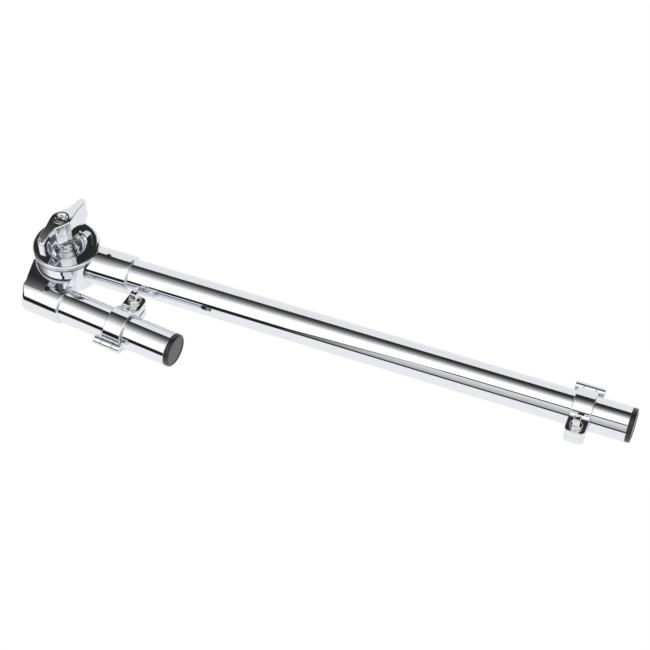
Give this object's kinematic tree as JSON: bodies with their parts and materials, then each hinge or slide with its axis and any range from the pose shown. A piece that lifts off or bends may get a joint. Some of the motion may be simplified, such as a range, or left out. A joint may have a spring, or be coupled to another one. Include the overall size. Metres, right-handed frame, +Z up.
{
  "type": "cymbal boom arm",
  "caption": "Hinged chrome boom arm for a cymbal stand: a long and a short tube pivot under a wing nut, each with a drum-key memory lock and a black end cap.",
  "frame": {"origin": "on the short tube's axis, in the middle of the free stretch between its memory lock and its end cap", "axes": "+X out along the short tube towards its cap; +Z up along the hinge axis towards the wing nut; +Y across, towards the long tube"},
  "size_m": [0.5154, 0.1374, 0.0756],
  "materials": {
    "cast_chrome": "polished",
    "tube_chrome": "polished",
    "lock_chrome": "polished",
    "plated_steel": "polished",
    "black_plastic": "satin",
    "nylon": "matte",
    "black_steel": "satin"
  },
  "bodies": {
    "short_arm": {"short_casting": "cast_chrome", "short_tube": "tube_chrome", "short_cap": "black_plastic", "short_set_screw": "black_steel", "hinge_bolt": "plated_steel", "friction_washer": "nylon"},
    "long_arm": {"long_casting": "cast_chrome", "long_tube": "tube_chrome", "long_cap": "black_plastic", "long_set_screw": "black_steel", "flat_washer": "plated_steel"},
    "cup_washer": {"cup_washer": "plated_steel"},
    "wing_nut": {"wing_nut": "cast_chrome"},
    "short_lock": {"short_lock_upper_jaw": "lock_chrome", "short_lock_washer": "plated_steel"},
    "short_lock_jaw": {"short_lock_lower_jaw": "lock_chrome", "short_lock_pin": "plated_steel"},
    "short_lock_key": {"short_lock_key_bolt": "plated_steel"},
    "long_lock": {"long_lock_upper_jaw": "lock_chrome", "long_lock_washer": "plated_steel"},
    "long_lock_jaw": {"long_lock_lower_jaw": "lock_chrome", "long_lock_pin": "plated_steel"},
    "long_lock_key": {"long_lock_key_bolt": "plated_steel"}
  },
  "joints": [
    {"name": "arm_swing", "type": "hinge", "parent": "short_arm", "child": "long_arm", "pos_m": [-0.103, 0.0395, 0.0103], "axis": [0, 0, 1], "range_deg": [-2, 173.85]},
    {"name": "nut_lift", "type": "slide", "parent": "short_arm", "child": "cup_washer", "axis": [0, 0, 1], "range_m": [0, 0.0026]},
    {"name": "wing_turn", "type": "hinge", "parent": "cup_washer", "child": "wing_nut", "pos_m": [-0.103, 0.0395, 0.0103], "axis": [0, 0, 1], "range_deg": [0, 720]},
    {"name": "short_lock_slide", "type": "slide", "parent": "short_arm", "child": "short_lock", "axis": [1, 0, 0], "range_m": [-0.004, 0.035]},
    {"name": "short_lock_key_turn", "type": "hinge", "parent": "short_lock", "child": "short_lock_key", "pos_m": [-0.028, 0.0234, 0], "axis": [0, 0, 1], "range_deg": [0, 540]},
    {"name": "short_lock_jaw_open", "type": "hinge", "parent": "short_lock", "child": "short_lock_jaw", "pos_m": [-0.028, -0.0202, 0.00205], "axis": [-1, 0, 0], "range_deg": [0, 1.57]},
    {"name": "long_lock_slide", "type": "slide", "parent": "long_arm", "child": "long_lock", "axis": [0.9942, 0.1071, 0], "range_m": [-0.3, 0.024]},
    {"name": "long_lock_key_turn", "type": "hinge", "parent": "long_lock", "child": "long_lock_key", "pos_m": [0.34423, 0.06415, 0.0103], "axis": [0, 0, 1], "range_deg": [0, 540]},
    {"name": "long_lock_jaw_open", "type": "hinge", "parent": "long_lock", "child": "long_lock_jaw", "pos_m": [0.33956, 0.1075, 0.01235], "axis": [0.9942, 0.1071, 0], "range_deg": [0, 1.57]}
  ],
  "couplings": [
    {"joint": "nut_lift", "follows": "wing_turn", "m_per_rad": 0.00019894},
    {"joint": "short_lock_key_turn", "follows": "short_lock_jaw_open", "ratio": 342.47},
    {"joint": "long_lock_key_turn", "follows": "long_lock_jaw_open", "ratio": 342.47}
  ]
}
